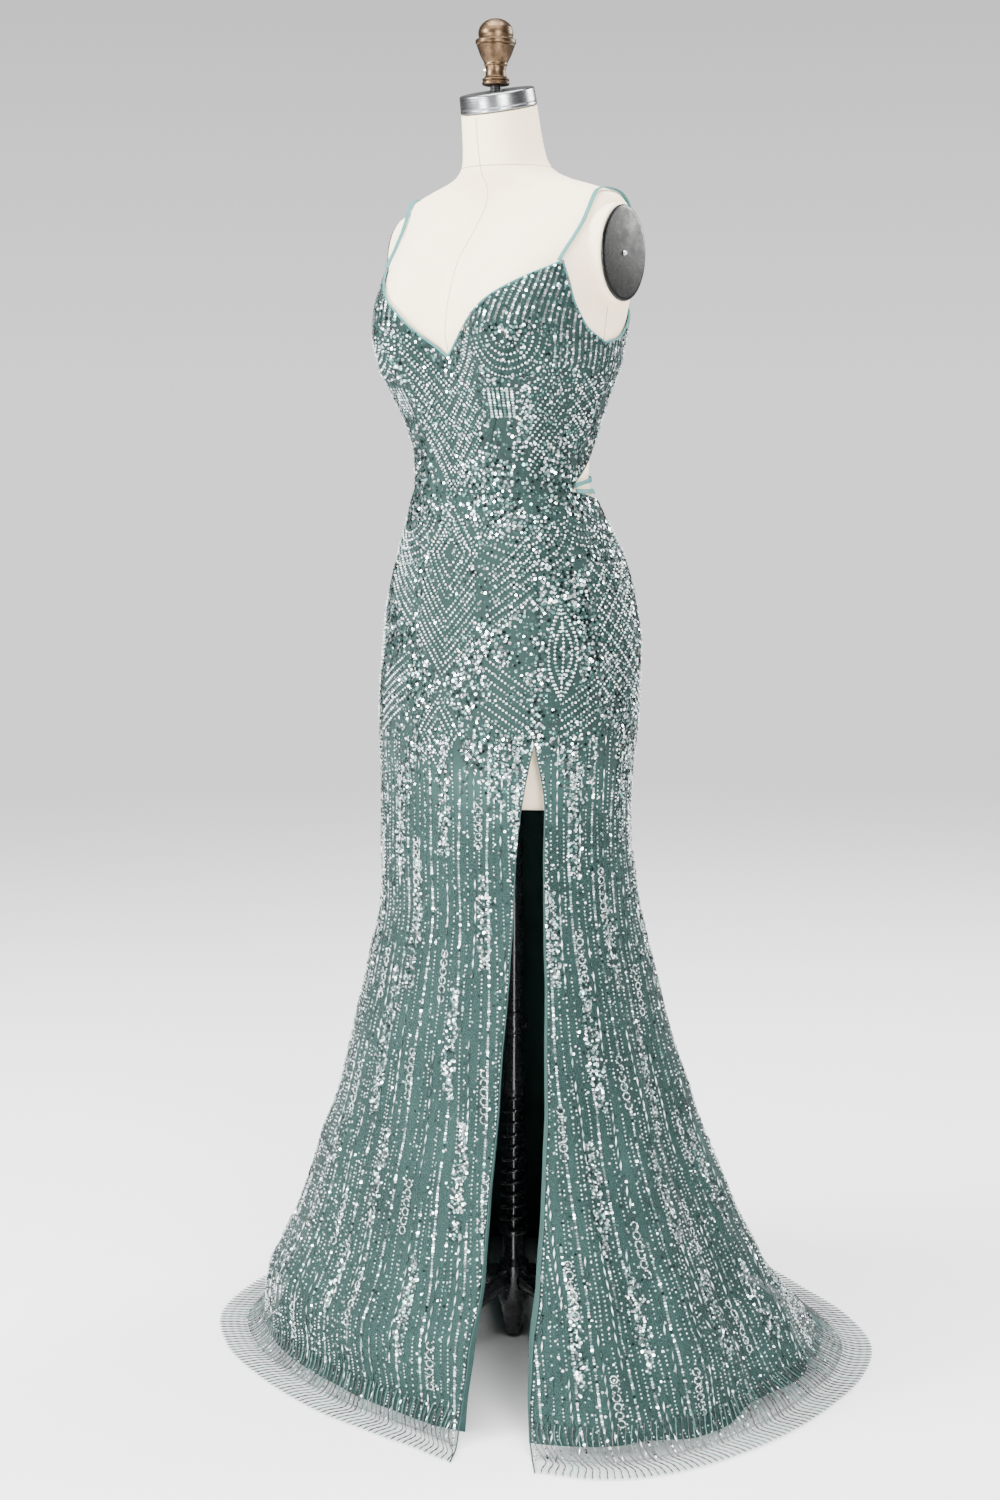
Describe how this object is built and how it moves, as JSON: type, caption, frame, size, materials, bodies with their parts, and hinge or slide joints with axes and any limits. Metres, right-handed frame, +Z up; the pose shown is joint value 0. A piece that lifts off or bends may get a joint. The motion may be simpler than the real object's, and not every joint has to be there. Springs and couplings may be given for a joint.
{
  "type": "evening gown on a dress form",
  "caption": "Floor-length evening gown of beaded tulle over a plain lining, with thin straps, a V neck, an open back waist and a front slit, worn by a limbless dress form on a sprung stand.",
  "frame": {"origin": "middle of the footprint, on the floor", "axes": "+X towards the wearer's left, +Y towards the back of the gown, +Z up"},
  "size_m": [0.8616, 0.7908, 1.7085],
  "materials": {
    "beaded_tulle": "sage-teal tulle sewn with silver, white and dark sequins and beads, on a thin backing",
    "lining": "plain matt lining, dusty teal",
    "satin": "pale aqua satin binding",
    "linen": "cream linen stretched over padding",
    "brushed_steel": "brushed bright steel",
    "dark_steel": "mottled dark steel plate",
    "aged_brass": "aged mottled brass",
    "black_iron": "black lacquered cast iron and steel"
  },
  "bodies": {
    "root": {"bodice_centre_front": "beaded_tulle", "bodice_side_front_left": "beaded_tulle", "bodice_side_front_right": "beaded_tulle", "bodice_back": "beaded_tulle", "skirt_front_right": "beaded_tulle", "skirt_front_left": "beaded_tulle", "skirt_back_left": "beaded_tulle", "skirt_back_right": "beaded_tulle", "lining_front_right": "lining", "lining_front_left": "lining", "lining_back": "lining", "strap_left": "satin", "strap_right": "satin", "waist_tie_upper": "satin", "waist_tie_lower": "satin", "form_torso": "linen", "neck_cap": "brushed_steel", "finial_screw": "brushed_steel", "arm_screw_left": "brushed_steel", "arm_screw_right": "brushed_steel", "arm_plate_left": "dark_steel", "arm_plate_right": "dark_steel", "finial": "aged_brass", "finial_spindle": "black_iron", "pole": "black_iron", "clamp_collar": "black_iron", "clamp_handle": "black_iron", "bell_socket": "black_iron", "spring": "black_iron", "base_hub": "black_iron", "base_leg_1": "black_iron", "base_leg_2": "black_iron", "base_leg_3": "black_iron", "base_leg_4": "black_iron", "base_leg_5": "black_iron"}
  },
  "joints": []
}
